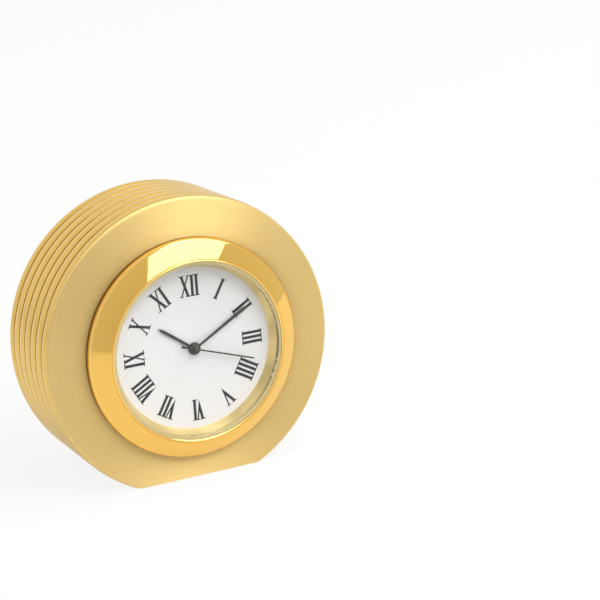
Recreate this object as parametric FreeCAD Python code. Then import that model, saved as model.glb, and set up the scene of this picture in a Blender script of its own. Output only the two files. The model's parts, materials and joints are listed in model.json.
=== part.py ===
"""Round turned-brass desk clock with a push-in quartz clock insert, in millimetres.

Every piece is first made in the clock's own frame: the hands turn about Z, +Z points
out of the dial at the reader, +Y points at 12 o'clock, and Z = 0 is the case's front
face.  place() then leans the clock back on its flat, with +Z up and the dial facing -Y.
"""
import FreeCAD, Part
import math
import os

os.makedirs("parts", exist_ok=True)

Vector = FreeCAD.Vector

# ---- clearances ----------------------------------------------------------------
push_gap = 0.02          # radial, between pieces that are pressed or glued together
run_gap = 0.04           # radial, between a turning shaft and its hole
slide_gap = 0.06         # radial, between the grip ring and the case's bore
end_gap = 0.10           # axial, between a turning piece and what holds it
seat_gap = 0.02          # axial, under the bezel where it sits on the case
cut_past = 1.0           # how far a bored hole's tool runs out of the piece

# ---- case ----------------------------------------------------------------------
case_radius = 28.575     # over the crowns of the ridges
case_depth = 20.6
axis_height = 25.4       # from the flat up to the axis, at the front face
lean_deg = 6.5           # the flat is cut so that the dial looks slightly up
ridge_pitch = 3.0
last_ridge_least = 1.0   # the ridge at the back face is never narrower than this
groove_width = 0.50
groove_depth = 0.32      # below the shoulders of the ridges
ridge_crown = 0.26       # height of a ridge's middle over its shoulders
edge_break = 0.40        # small chamfer round the front and back faces
bore_radius = 18.25      # standard 36.5 mm seat of a clock insert
knob_space = 2.9         # between the setting knob and the bore's bottom

# ---- medallion in the back -----------------------------------------------------
medallion_radius = 17.45
medallion_thickness = 1.6
pad_thickness = 0.2
pad_margin = 0.7
ground_depth = 0.25      # the struck ground lies this far below the rim
medallion_rim = 0.40
ring_inset = 3.85        # from the medallion's edge to its inner ring
inner_ring_width = 0.45
star_points = 8
star_margin = 1.95       # between the long points and the inner ring
star_short = 7.4
star_waist_radius = 2.9
star_floor = 0.03        # the star's edge stands this far over the ground

# ---- bezel, crystal and dial ---------------------------------------------------
bezel_overlap = 2.7      # how far the bezel covers the case round the bore
bezel_edge = 1.25        # height of the bezel's outer wall
bezel_edge_round = 0.33
bezel_height = 4.15
bezel_swell = 0.22       # how far the polished cone bulges out of a straight line
lip_width = 0.40
lip_drop = 0.15          # the lip's inner corner is this much lower
rim_shoulder = 0.53      # the lip stands in over the dial flange by this much
crystal_thickness = 1.0
crystal_drop = 0.30      # crystal's face below the lip's top
gasket_width = 0.45
flange_cover = 0.55      # how far the dial flange covers the dial's edge
flange_top_inset = 0.15  # flat land of the dial flange, under the crystal
dial_face = 1.0          # height of the dial's printed face
dial_thickness = 0.4
dial_hole_margin = 0.22  # radial, round the hour tube
spacer_width = 1.4

# ---- insert cup ----------------------------------------------------------------
grip_space = 0.85        # radial, between the cup and the case's bore
cup_wall = 1.3
cup_ledge = 0.9          # the wall is this much thicker below the main plate
cup_floor = 1.0
grip_top = 1.2
grip_length = 4.4
grip_fins = 3
grip_fin_height = 0.35
grip_fin_crest = 0.3     # share of a fin's pitch that bears on the bore
cover_margin = 0.9       # battery cover's edge outside the cell
cover_ledge = 0.6
coin_slot_width = 1.2
coin_slot_depth = 0.5

# ---- movement frame ------------------------------------------------------------
motion_space = 1.0       # between the main plate and the dial
plate_thickness = 1.2
plate_margin = 0.1       # radial, main plate, spacer and dial in the cup
train_space = 3.4        # between the main plate and the bridge
bridge_thickness = 0.8
bridge_margin = 1.2      # radial, bridge in the cup
bush_wall = 0.44
pillar_radius = 1.1
pillar_inset = 1.6       # from the bridge's edge to a pillar's axis
pillar_angles = (165.0, 20.0, -80.0)
screw_radius = 0.45
screw_head_radius = 0.9
screw_head_height = 0.4
screw_hole_depth = 2.4
screw_end_gap = 0.2      # between a screw's tip and the end of its hole
screw_slot_width = 0.25
screw_slot_depth = 0.2
screw_slot_angle = 35.0      # first screw's slot; each next one is turned on
screw_slot_turn = 70.0

# ---- wheel train: teeth, modules and levels ------------------------------------
rotor_pinion_teeth = 8
fifth_wheel_teeth = 48
fifth_pinion_teeth = 10
second_wheel_teeth = 50
second_pinion_teeth = 8
third_wheel_teeth = 60
third_pinion_teeth = 8
centre_wheel_teeth = 64
cannon_pinion_teeth = 12
minute_wheel_teeth = 36
minute_pinion_teeth = 10
hour_wheel_teeth = 40
setting_pinion_teeth = 12
third_module = 0.12          # second pinion and third wheel
second_module = 0.14         # second wheel and fifth pinion
fifth_module = 0.12          # fifth wheel and rotor pinion
cannon_module = 0.16
third_direction = 165.0      # from the clock's axis to the third wheel
fifth_direction = 45.0       # from the clock's axis to the fifth wheel
rotor_direction = 90.0       # from the fifth wheel to the rotor
minute_direction = -60.0     # from the clock's axis to the minute wheel
setting_direction = -45.0    # from the minute wheel to the setting arbor
wheel_thickness = 0.25
pinion_overhang = 0.12       # a pinion is longer than its wheel by this much each side
centre_level = 0.20          # centre wheel below the main plate's back
third_drop = 0.25            # third wheel behind the centre wheel
second_drop = 0.75           # second wheel behind the third wheel
fifth_drop = 0.45            # fifth wheel behind the second wheel
minute_level = 0.15          # minute wheel above the main plate's front
hour_rise = 0.20             # hour wheel in front of the minute wheel
arbor_radius = 0.30
pivot_radius = 0.15
second_arbor_radius = 0.15
centre_tube_wall = 0.13
cannon_wall = 0.16
hour_tube_wall = 0.24
stud_radius = 0.30
setting_arbor_radius = 0.50

# a tooth's outline: (height over the pitch circle in modules, share of the pitch)
wheel_tooth = ((-1.25, 0.56), (0.95, 0.18))
pinion_leaf = ((-1.45, 0.32), (0.0, 0.34), (0.75, 0.12))

# ---- motor, board and battery --------------------------------------------------
magnet_radius = 1.25
magnet_height = 0.8
stator_thickness = 0.5
stator_clearance = 0.25      # behind the third wheel
stator_gap = 0.35            # round the magnet
stator_eye_wall = 0.55       # of iron round the magnet's hole
stator_bar_width = 1.8
stator_half_length = 7.4
coil_offset = 4.6            # from the rotor's line to the coil's axis
coil_radius = 1.45
bobbin_wall = 0.35           # thickness of the bobbin's flanges
barrel_wall = 0.18           # least thickness of the bobbin's barrel
flange_rise = 0.1            # bobbin's flanges over the winding
coil_clearance = 0.8         # between the winding and the bridge
core_width = 1.3
core_thickness = 0.5
board_thickness = 0.4
board_left = 3.2
board_right = 13.2
board_low = -3.2
board_high = 7.4
board_inset = 0.3            # from the bridge's edge
chip_size = 2.4
chip_height = 0.8
chip_from_left = 2.4         # its middle, from the board's edges
chip_from_low = 3.2
can_radius = 0.7
can_length = 5.4
can_from_right = 3.4
can_from_low = 0.6
can_clearance = 0.1          # between the oscillator can and the cup's floor
battery_radius = 3.4
battery_height = 2.6
battery_cap_radius = 2.5
battery_cap_height = 0.15
battery_distance = 9.27      # from the clock's axis to the cell's axis
battery_direction = 227.2
pocket_wall = 0.6
pocket_gap = 0.1
pocket_setback = 0.2         # the pocket's wall ends this far below the cell's face
opening_margin = 0.4         # between the pocket and the bridge
spring_height = 0.55
spring_crown_radius = 0.9    # where the dished washer meets the cell
spring_crown_width = 0.4
strip_thickness = 0.2
strip_width = 2.0
clamp_grip = 3.4             # length of the clamp's foot on the bridge
clamp_reach = 1.0            # past the cell's centre

# ---- hands ---------------------------------------------------------------------
hour_angle = 305.8           # clockwise from 12, as the hands are set
minute_angle = 60.3
second_angle = 108.5
hour_hand_height = 0.26      # underside of the hour hand over the dial
hand_gap = 0.06              # between one hand's hub and the next hand
hand_thickness = 0.14
hand_point = 3.0             # length of a blade's point in widths
hour_length = 8.65
hour_width = 0.58            # where the blade is widest, just behind its point
hour_root = 0.46             # width of the blade at its hub
minute_length = 13.1
minute_width = 0.62
minute_root = 0.34
second_length = 12.65
second_width = 0.26
second_tail = 2.9
second_tail_width = 0.52
hour_hub_radius = 1.20
minute_hub_radius = 1.08
second_hub_radius = 0.55
hub_thickness = 0.22
hub_cap_height = 0.16
cap_shoulder = (0.8, 0.6)    # shares of the hub's radius and of the cap's height
cap_crown = 0.4              # share of the hub's radius that is flat on top

# ---- setting knob --------------------------------------------------------------
knob_radius = 3.6
knob_height = 1.4
knob_flutes = 24
flute_radius = 0.22
knob_slot_width = 0.7
knob_slot_depth = 0.35
knob_slot_margin = 1.1       # between the slot's ends and the knob's edge
knob_slot_angle = 20.0
knob_web = 0.25              # between the slot and the arbor's end

# ---- radii worked out from the sizes above -------------------------------------
cup_radius = bore_radius - grip_space
cup_inner_radius = cup_radius - cup_wall
cup_ledge_radius = cup_inner_radius - cup_ledge
bezel_radius = bore_radius + bezel_overlap
rim_radius = cup_radius - rim_shoulder
dial_radius = cup_inner_radius - plate_margin
flange_inner_radius = dial_radius - flange_cover
inner_ring_radius = medallion_radius - ring_inset
star_long = inner_ring_radius - inner_ring_width - star_margin
bridge_radius = cup_ledge_radius - bridge_margin
pillar_circle = bridge_radius - pillar_inset
board_radius = bridge_radius - board_inset
centre_tube_radius = second_arbor_radius + run_gap + centre_tube_wall
bush_radius = centre_tube_radius + run_gap + bush_wall
cannon_radius = centre_tube_radius + push_gap + cannon_wall
hour_tube_radius = cannon_radius + run_gap + hour_tube_wall
dial_hole_radius = hour_tube_radius + dial_hole_margin
stator_hole_radius = magnet_radius + stator_gap
pocket_inner_radius = battery_radius + pocket_gap
pocket_radius = pocket_inner_radius + pocket_wall
bridge_opening = pocket_radius + opening_margin
cover_radius = battery_radius + cover_margin
cover_neck_radius = cover_radius - cover_ledge

# ---- levels worked out from the sizes above (Z in the clock's own frame) -------
crystal_top = bezel_height - crystal_drop
crystal_back = crystal_top - crystal_thickness
dial_back = dial_face - dial_thickness
plate_front = dial_back - motion_space
plate_back = plate_front - plate_thickness
bridge_front = plate_back - train_space
bridge_back = bridge_front - bridge_thickness
board_back = bridge_back - board_thickness
cup_inside = board_back - 2 * can_radius - can_clearance
cup_bottom = cup_inside - cup_floor
cover_seat = cup_bottom + cup_floor / 2
knob_front = cup_bottom - end_gap
knob_back = knob_front - knob_height
bore_bottom = knob_back - knob_space
arbor_end = knob_back + knob_slot_depth + knob_web
medallion_seat = -case_depth + medallion_thickness + pad_thickness
third_level = centre_level + wheel_thickness + third_drop
second_level = third_level + wheel_thickness + second_drop
fifth_level = second_level + wheel_thickness + fifth_drop
hour_level = minute_level + wheel_thickness + hour_rise
stator_front = plate_back - third_level - wheel_thickness - stator_clearance
stator_back = stator_front - stator_thickness
core_back = stator_back - core_thickness
battery_front = plate_back - spring_height
battery_back = battery_front - battery_height
minute_hand_height = hour_hand_height + hub_thickness + hand_gap
second_hand_height = minute_hand_height + hub_thickness + hand_gap

groove_count = int((case_depth - last_ridge_least) / ridge_pitch)
lean = math.radians(lean_deg)


def polar(radius, angle_deg):
    angle = math.radians(angle_deg)
    return radius * math.cos(angle), radius * math.sin(angle)


def step_from(start, distance, angle_deg):
    dx, dy = polar(distance, angle_deg)
    return start[0] + dx, start[1] + dy


def mesh_distance(module, teeth_a, teeth_b):
    return module * (teeth_a + teeth_b) / 2


# ---- where the arbors stand ----------------------------------------------------
axis = (0.0, 0.0)
third_distance = mesh_distance(third_module, second_pinion_teeth, third_wheel_teeth)
third_at = step_from(axis, third_distance, third_direction)
centre_module = 2 * third_distance / (centre_wheel_teeth + third_pinion_teeth)
fifth_at = step_from(
    axis, mesh_distance(second_module, second_wheel_teeth, fifth_pinion_teeth), fifth_direction)
rotor_at = step_from(
    fifth_at, mesh_distance(fifth_module, fifth_wheel_teeth, rotor_pinion_teeth), rotor_direction)
minute_distance = mesh_distance(cannon_module, cannon_pinion_teeth, minute_wheel_teeth)
minute_at = step_from(axis, minute_distance, minute_direction)
hour_module = 2 * minute_distance / (hour_wheel_teeth + minute_pinion_teeth)
setting_at = step_from(
    minute_at, mesh_distance(cannon_module, minute_wheel_teeth, setting_pinion_teeth),
    setting_direction)
battery_at = polar(battery_distance, battery_direction)
pillar_spots = [polar(pillar_circle, angle) for angle in pillar_angles]
coil_y = rotor_at[1] + coil_offset
coil_end_x = stator_half_length - core_width
coil_ends = [(-coil_end_x, coil_y), (coil_end_x, coil_y)]


# ---- shape helpers -------------------------------------------------------------
def disc(radius, low, high, at=axis):
    return Part.makeCylinder(radius, high - low, Vector(at[0], at[1], low))


def ring(outer, inner, low, high, at=axis):
    return disc(outer, low, high, at).cut(disc(inner, low, high, at))


def slab(x_low, x_high, y_low, y_high, low, high):
    return Part.makeBox(x_high - x_low, y_high - y_low, high - low, Vector(x_low, y_low, low))


def closed_wire(points):
    return Part.makePolygon(points + [points[0]])


def extruded(outline, low, high):
    points = [Vector(x, y, low) for x, y in outline]
    return Part.Face(closed_wire(points)).extrude(Vector(0, 0, high - low))


def revolved(edges):
    face = Part.Face(Part.Wire(edges))
    return face.revolve(Vector(0, 0, 0), Vector(0, 0, 1), 360)


def turned(profile, at=axis):
    """A solid of revolution from (radius, height) corners."""
    points = [Vector(radius, 0, height) for radius, height in profile]
    solid = Part.Face(closed_wire(points)).revolve(Vector(0, 0, 0), Vector(0, 0, 1), 360)
    solid.translate(Vector(at[0], at[1], 0))
    return solid


def line(start, end):
    return Part.LineSegment(Vector(start[0], 0, start[1]), Vector(end[0], 0, end[1])).toShape()


def arc(start, middle, end):
    corners = [Vector(radius, 0, height) for radius, height in (start, middle, end)]
    return Part.Arc(*corners).toShape()


def toothed(teeth, module, low, high, form, phase_deg, at=axis):
    """A spur wheel without its bore; phase_deg is the direction of one tooth."""
    pitch_radius = module * teeth / 2
    pitch_deg = 360 / teeth
    outline = []
    for tooth in range(teeth):
        middle = phase_deg + tooth * pitch_deg
        leading = [(rise, share, -1) for rise, share in form]
        trailing = [(rise, share, 1) for rise, share in reversed(form)]
        for rise, share, side in leading + trailing:
            corner = polar(pitch_radius + rise * module, middle + side * share * pitch_deg / 2)
            outline.append((at[0] + corner[0], at[1] + corner[1]))
    return extruded(outline, low, high)


def meshed_phase(phase_a, teeth_a, direction, teeth_b):
    """Phase of a wheel that lies in direction from wheel a and is in mesh with it."""
    share = ((phase_a - direction) / (360 / teeth_a)) % 1
    return direction + 180 + (0.5 - share) * 360 / teeth_b


def slotted(shape, half_length, width, low, high, at, angle_deg):
    """Cuts a screwdriver or coin slot between two heights."""
    bar = slab(-half_length, half_length, -width / 2, width / 2, low, high)
    bar.rotate(Vector(0, 0, 0), Vector(0, 0, 1), angle_deg)
    bar.translate(Vector(at[0], at[1], 0))
    return shape.cut(bar)


# ---- from the clock's frame to the stand frame ---------------------------------
flat_front_y = -axis_height * math.sin(lean)
flat_back_height = axis_height - case_depth * math.tan(lean)
flat_back_y = case_depth * math.cos(lean) - flat_back_height * math.sin(lean)
clock_to_stand = FreeCAD.Placement(
    Vector(0, -(flat_front_y + flat_back_y) / 2, axis_height * math.cos(lean)),
    FreeCAD.Rotation(Vector(1, 0, 0), 90 - lean_deg))


def place(shape):
    return shape.transformed(clock_to_stand.toMatrix())


def save(name, *solids):
    shape = solids[0] if len(solids) == 1 else Part.makeCompound(solids)
    place(shape).exportStep("parts/" + name + ".step")


# ---- case ----------------------------------------------------------------------
def ridge_bounds():
    """Start and end depth of each ridge, from the front face to the back face."""
    starts = [edge_break] + [i * ridge_pitch + groove_width / 2 for i in range(1, groove_count + 1)]
    ends = [i * ridge_pitch - groove_width / 2 for i in range(1, groove_count + 1)]
    return list(zip(starts, ends + [case_depth - edge_break]))


def case_outline():
    shoulder = case_radius - ridge_crown
    face_radius = shoulder - edge_break
    bounds = ridge_bounds()
    edges = [line((0, 0), (face_radius, 0)), line((face_radius, 0), (shoulder, -edge_break))]
    for number, (start, end) in enumerate(bounds):
        middle = (case_radius, -(start + end) / 2)
        edges.append(arc((shoulder, -start), middle, (shoulder, -end)))
        if number < groove_count:
            bottom = (shoulder - groove_depth, -end - groove_width / 2)
            edges.append(arc((shoulder, -end), bottom, (shoulder, -end - groove_width)))
    edges.append(line((shoulder, -case_depth + edge_break), (face_radius, -case_depth)))
    edges.append(line((face_radius, -case_depth), (0, -case_depth)))
    edges.append(line((0, -case_depth), (0, 0)))
    return edges


def make_case_body():
    body = revolved(case_outline())
    body = body.cut(disc(bore_radius, bore_bottom, cut_past))
    body = body.cut(disc(medallion_radius + push_gap, -case_depth - cut_past, medallion_seat))
    reach = 2 * (case_radius + case_depth)
    ground = Part.makeBox(2 * reach, 2 * reach, reach, Vector(-reach, -reach, -reach))
    return body.cut(ground.transformed(clock_to_stand.inverse().toMatrix()))


# ---- medallion -----------------------------------------------------------------
def compass_star(ground, top):
    """A faceted star: every point is a low ridge that climbs to the centre."""
    rim = []
    for point in range(star_points):
        direction = 90 + point * 360 / star_points
        length = star_long if point % 2 == 0 else star_short
        rim.append(polar(length, direction))
        rim.append(polar(star_waist_radius, direction + 180 / star_points))
    edge = ground - star_floor
    upper = [Vector(x, y, edge) for x, y in rim]
    lower = [Vector(x, y, ground) for x, y in rim]
    apex = Vector(0, 0, top)
    faces = [Part.Face(closed_wire(lower))]
    for i, corner in enumerate(upper):
        following = (i + 1) % len(upper)
        faces.append(Part.Face(closed_wire([corner, upper[following], apex])))
        faces.append(Part.Face(closed_wire([corner, upper[following], lower[following], lower[i]])))
    star = Part.Solid(Part.makeShell(faces))
    if star.Volume < 0:
        star.reverse()
    return star


def make_medallion():
    top = -case_depth
    ground = top + ground_depth
    seat = top + medallion_thickness
    blank = disc(medallion_radius, ground, seat)
    blank = blank.fuse(ring(medallion_radius, medallion_radius - medallion_rim, top, ground))
    inner_radius = inner_ring_radius - inner_ring_width
    blank = blank.fuse(ring(inner_ring_radius, inner_radius, top, ground))
    return blank.fuse(compass_star(ground, top)).removeSplitter()


def make_medallion_pad():
    seat = -case_depth + medallion_thickness
    return disc(medallion_radius - pad_margin, seat, seat + pad_thickness)


# ---- bezel, crystal and dial ---------------------------------------------------
def make_bezel():
    bore = cup_radius + push_gap
    foot = seat_gap
    lip_outer = rim_radius + lip_width
    cone_start = (bezel_radius - bezel_edge_round, bezel_edge)
    cone_end = (lip_outer, bezel_height - lip_drop / 2)
    run = (cone_start[0] - cone_end[0], cone_end[1] - cone_start[1])
    slope = math.hypot(*run)
    cone_middle = (
        (cone_start[0] + cone_end[0]) / 2 + bezel_swell * run[1] / slope,
        (cone_start[1] + cone_end[1]) / 2 + bezel_swell * run[0] / slope)
    wall_top = (bezel_radius, bezel_edge - bezel_edge_round)
    lip_inner = (rim_radius, bezel_height - lip_drop)
    lip_middle = (rim_radius + lip_width / 2, bezel_height)
    edges = [
        line((bore, foot), (bezel_radius, foot)),
        line((bezel_radius, foot), wall_top),
        line(wall_top, cone_start),
        arc(cone_start, cone_middle, cone_end),
        arc(cone_end, lip_middle, lip_inner),
        line(lip_inner, (rim_radius, crystal_back)),
        line((rim_radius, crystal_back), (bore, crystal_back)),
        line((bore, crystal_back), (bore, foot)),
    ]
    return revolved(edges)


def make_crystal():
    radius = rim_radius - gasket_width - push_gap
    return disc(radius, crystal_back, crystal_top)


def make_crystal_gasket():
    outer = rim_radius - push_gap
    return ring(outer, rim_radius - gasket_width, crystal_back, crystal_top)


def make_dial_flange():
    outer = cup_radius
    top_inner = rim_radius - gasket_width - flange_top_inset
    return turned([
        (flange_inner_radius, dial_face),
        (outer, dial_face),
        (outer, crystal_back),
        (top_inner, crystal_back),
    ])


def make_dial():
    return ring(dial_radius, dial_hole_radius, dial_back, dial_face)


def make_dial_spacer():
    return ring(dial_radius, dial_radius - spacer_width, plate_front, dial_back)


# ---- insert cup and what closes it ---------------------------------------------
def make_insert_cup():
    cup = disc(cup_radius, cup_bottom, dial_face)
    cup = cup.cut(disc(cup_ledge_radius, cup_inside, dial_face))
    cup = cup.cut(disc(cup_inner_radius, plate_back, dial_face))
    cup = cup.cut(disc(cover_neck_radius + push_gap, cup_bottom, cup_inside, battery_at))
    cup = cup.cut(disc(cover_radius + push_gap, cup_bottom, cover_seat, battery_at))
    return cup.cut(disc(setting_arbor_radius + run_gap, cup_bottom, cup_inside, setting_at))


def make_battery_cover():
    cover = disc(cover_radius, cup_bottom, cover_seat, battery_at)
    cover = cover.fuse(disc(cover_neck_radius, cover_seat, cup_inside, battery_at))
    slot_end = cup_bottom + coin_slot_depth
    across = battery_direction + 90
    return slotted(
        cover, cover_neck_radius, coin_slot_width, cup_bottom, slot_end, battery_at, across)


def make_grip_ring():
    """A soft ring whose fins bear on the case's bore."""
    inner = cup_radius + push_gap
    tip = bore_radius - slide_gap
    root = tip - grip_fin_height
    fin_pitch = grip_length / grip_fins
    flank = (1 - grip_fin_crest) / 2 * fin_pitch
    profile = [(inner, -grip_top), (root, -grip_top)]
    for fin in range(grip_fins):
        top = -grip_top - fin * fin_pitch
        profile.append((tip, top - flank))
        profile.append((tip, top - fin_pitch + flank))
        profile.append((root, top - fin_pitch))
    profile.append((inner, -grip_top - grip_length))
    return turned(profile)


# ---- movement frame ------------------------------------------------------------
def make_main_plate():
    plate = disc(cup_inner_radius - plate_margin, plate_back, plate_front)
    pocket_low = battery_back + pocket_setback
    pocket = ring(pocket_radius, pocket_inner_radius, pocket_low, plate_back, battery_at)
    plate = plate.fuse(pocket)
    for spot in pillar_spots:
        plate = plate.fuse(disc(pillar_radius, bridge_front, plate_back, spot))
    for spot in coil_ends:
        plate = plate.fuse(disc(core_width, stator_front, plate_back, spot))
    for spot in [third_at, fifth_at, rotor_at]:
        plate = plate.cut(disc(pivot_radius + run_gap, plate_back, plate_front, spot))
    plate = plate.cut(disc(bush_radius + push_gap, plate_back, plate_front))
    plate = plate.cut(disc(setting_arbor_radius + run_gap, plate_back, plate_front, setting_at))
    plate = plate.cut(disc(stud_radius + push_gap, plate_back, plate_front, minute_at))
    hole = screw_radius + push_gap
    for spot in pillar_spots:
        plate = plate.cut(disc(hole, bridge_front, bridge_front + screw_hole_depth, spot))
    for spot in coil_ends:
        plate = plate.cut(disc(hole, stator_front, plate_back, spot))
    return plate


def make_centre_bush():
    return ring(bush_radius, centre_tube_radius + run_gap, plate_back, plate_front)


def make_minute_wheel_stud():
    top = dial_back - end_gap
    return disc(stud_radius, plate_back, top, minute_at)


def make_train_bridge():
    bridge = disc(bridge_radius, bridge_back, bridge_front)
    bridge = bridge.cut(disc(bridge_opening, bridge_back, bridge_front, battery_at))
    coil_front = coil_y - coil_radius - coil_clearance
    bridge = bridge.cut(slab(
        -bridge_radius, bridge_radius, coil_front, bridge_radius + cut_past,
        bridge_back, bridge_front))
    bridge = bridge.cut(disc(second_arbor_radius + run_gap, bridge_back, bridge_front))
    for spot in [third_at, fifth_at, rotor_at]:
        bridge = bridge.cut(disc(pivot_radius + run_gap, bridge_back, bridge_front, spot))
    hole = setting_arbor_radius + run_gap
    bridge = bridge.cut(disc(hole, bridge_back, bridge_front, setting_at))
    for spot in pillar_spots:
        bridge = bridge.cut(disc(screw_radius + push_gap, bridge_back, bridge_front, spot))
    return bridge


def screw(head_seat, shank_end, at, number):
    top = head_seat - screw_head_height
    whole = disc(screw_head_radius, top, head_seat, at)
    whole = whole.fuse(disc(screw_radius, head_seat, shank_end, at))
    angle = screw_slot_angle + screw_slot_turn * number
    return slotted(
        whole, screw_head_radius, screw_slot_width, top, top + screw_slot_depth, at, angle)


def under_board(spot):
    inside_x = board_left < spot[0] < board_right
    return inside_x and board_low < spot[1] < board_high


def make_bridge_screws():
    screws = []
    for number, spot in enumerate(pillar_spots):
        seat = board_back if under_board(spot) else bridge_back
        end = bridge_front + screw_hole_depth - screw_end_gap
        screws.append(screw(seat, end, spot, number))
    return screws


def make_coil_screws():
    end = plate_back - screw_end_gap
    return [screw(core_back, end, spot, number) for number, spot in enumerate(coil_ends)]


# ---- motor ---------------------------------------------------------------------
def make_stator():
    """Two legs round the magnet and a foot under each end of the coil's core."""
    low, high = stator_back, stator_front
    reach = stator_half_length
    bar_low = rotor_at[1] - stator_bar_width / 2
    bar = slab(-reach, reach, bar_low, bar_low + stator_bar_width, low, high)
    stator = bar.fuse(disc(stator_hole_radius + stator_eye_wall, low, high, rotor_at))
    for end in coil_ends:
        foot = slab(
            end[0] - core_width, end[0] + core_width, bar_low, coil_y + core_width, low, high)
        stator = stator.fuse(foot)
    stator = stator.cut(disc(stator_hole_radius, low, high, rotor_at))
    for end in coil_ends:
        stator = stator.cut(disc(screw_radius + push_gap, low, high, end))
    return stator


def make_coil_core():
    low, high = core_back, stator_back
    reach = stator_half_length
    core = slab(-reach, reach, coil_y - core_width / 2, coil_y + core_width / 2, low, high)
    for end in coil_ends:
        core = core.fuse(slab(
            end[0] - core_width, end[0] + core_width,
            coil_y - core_width, coil_y + core_width, low, high))
        core = core.cut(disc(screw_radius + push_gap, low, high, end))
    return core


def coil_tube(radius, x_low, x_high):
    centre = Vector(x_low, coil_y, (core_back + stator_back) / 2)
    return Part.makeCylinder(radius, x_high - x_low, centre, Vector(1, 0, 0))


def coil_window():
    return slab(
        -stator_half_length, stator_half_length,
        coil_y - core_width / 2 - push_gap, coil_y + core_width / 2 + push_gap,
        core_back - push_gap, stator_back + push_gap)


def bobbin_barrel_radius():
    return math.hypot(core_width / 2, core_thickness / 2) + barrel_wall


def bobbin_half_length():
    """The bobbin fills the core between its two wider ends."""
    return stator_half_length - 2 * core_width - push_gap


def make_coil_bobbin():
    half = bobbin_half_length()
    bobbin = coil_tube(bobbin_barrel_radius(), -half, half)
    bobbin = bobbin.fuse(coil_tube(coil_radius + flange_rise, -half, -half + bobbin_wall))
    bobbin = bobbin.fuse(coil_tube(coil_radius + flange_rise, half - bobbin_wall, half))
    return bobbin.cut(coil_window())


def make_coil_winding():
    half = bobbin_half_length() - bobbin_wall - push_gap
    winding = coil_tube(coil_radius, -half, half)
    return winding.cut(coil_tube(bobbin_barrel_radius() + push_gap, -half, half))


def make_rotor_magnet():
    middle = (stator_front + stator_back) / 2
    low, high = middle - magnet_height / 2, middle + magnet_height / 2
    return ring(magnet_radius, arbor_radius + push_gap, low, high, rotor_at)


# ---- board and battery ---------------------------------------------------------
def make_circuit_board():
    board = slab(board_left, board_right, board_low, board_high, board_back, bridge_back)
    board = board.common(disc(board_radius, board_back, bridge_back))
    for spot in pillar_spots:
        board = board.cut(disc(screw_radius + push_gap, board_back, bridge_back, spot))
    return board


def make_circuit_chip():
    x_low = board_left + chip_from_left - chip_size / 2
    y_low = board_low + chip_from_low - chip_size / 2
    return slab(
        x_low, x_low + chip_size, y_low, y_low + chip_size, board_back - chip_height, board_back)


def make_oscillator_can():
    centre = Vector(
        board_right - can_from_right, board_low + can_from_low, board_back - can_radius)
    return Part.makeCylinder(can_radius, can_length, centre, Vector(0, 1, 0))


def make_battery():
    rim = battery_front - battery_cap_height
    cell = disc(battery_radius, battery_back, rim, battery_at)
    return cell.fuse(disc(battery_cap_radius, rim, battery_front, battery_at))


def make_battery_spring():
    """A dished washer under the cell's cap."""
    foot = battery_cap_radius
    crown_inner = spring_crown_radius - spring_crown_width
    return turned([
        (foot, plate_back),
        (foot, plate_back - strip_thickness),
        (spring_crown_radius, battery_front),
        (crown_inner, battery_front),
        (crown_inner, battery_front + strip_thickness),
    ], battery_at)


def make_battery_clamp():
    """A strip from the bridge's back, stepped down onto the cell."""
    half = strip_width / 2
    edge = battery_distance - math.sqrt(bridge_opening ** 2 - half ** 2)
    bend = edge + push_gap + strip_thickness
    high_part = slab(edge - clamp_grip, bend, -half, half, bridge_back - strip_thickness, bridge_back)
    riser_low = min(battery_back, bridge_back) - strip_thickness
    riser_high = max(battery_back, bridge_back)
    drop = slab(bend - strip_thickness, bend, -half, half, riser_low, riser_high)
    tongue = slab(bend - strip_thickness, battery_distance + clamp_reach, -half, half,
                  battery_back - strip_thickness, battery_back)
    clamp = high_part.fuse(drop).fuse(tongue)
    clamp.rotate(Vector(0, 0, 0), Vector(0, 0, 1), battery_direction)
    return clamp.removeSplitter()


# ---- wheels --------------------------------------------------------------------
def level_below(depth):
    return plate_back - depth - wheel_thickness, plate_back - depth


def level_above(height):
    return plate_front + height, plate_front + height + wheel_thickness


def wide(level):
    return level[0] - pinion_overhang, level[1] + pinion_overhang


second_phase = 0.0
second_pinion_phase = 0.0
third_phase = meshed_phase(
    second_pinion_phase, second_pinion_teeth, third_direction, third_wheel_teeth)
third_pinion_phase = 0.0
centre_phase = meshed_phase(
    third_pinion_phase, third_pinion_teeth, third_direction + 180, centre_wheel_teeth)
fifth_pinion_phase = meshed_phase(
    second_phase, second_wheel_teeth, fifth_direction, fifth_pinion_teeth)
fifth_phase = 0.0
rotor_phase = meshed_phase(fifth_phase, fifth_wheel_teeth, rotor_direction, rotor_pinion_teeth)
cannon_phase = 0.0
minute_phase = meshed_phase(
    cannon_phase, cannon_pinion_teeth, minute_direction, minute_wheel_teeth)
minute_pinion_phase = 0.0
hour_phase = meshed_phase(
    minute_pinion_phase, minute_pinion_teeth, minute_direction + 180, hour_wheel_teeth)
setting_phase = meshed_phase(
    minute_phase, minute_wheel_teeth, setting_direction, setting_pinion_teeth)


def pivoted_arbor(at):
    """An arbor between the main plate and the bridge, with a thin pivot at each end."""
    shoulders = disc(arbor_radius, bridge_front + end_gap, plate_back - end_gap, at)
    return shoulders.fuse(disc(pivot_radius, bridge_back, plate_front, at))


def make_third_wheel():
    wheel = pivoted_arbor(third_at)
    level = level_below(third_level)
    wheel = wheel.fuse(toothed(
        third_wheel_teeth, third_module, *level, wheel_tooth, third_phase, third_at))
    level = wide(level_below(centre_level))
    level = (level[0], min(level[1], plate_back - end_gap))
    return wheel.fuse(toothed(
        third_pinion_teeth, centre_module, *level, pinion_leaf, third_pinion_phase, third_at))


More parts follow.
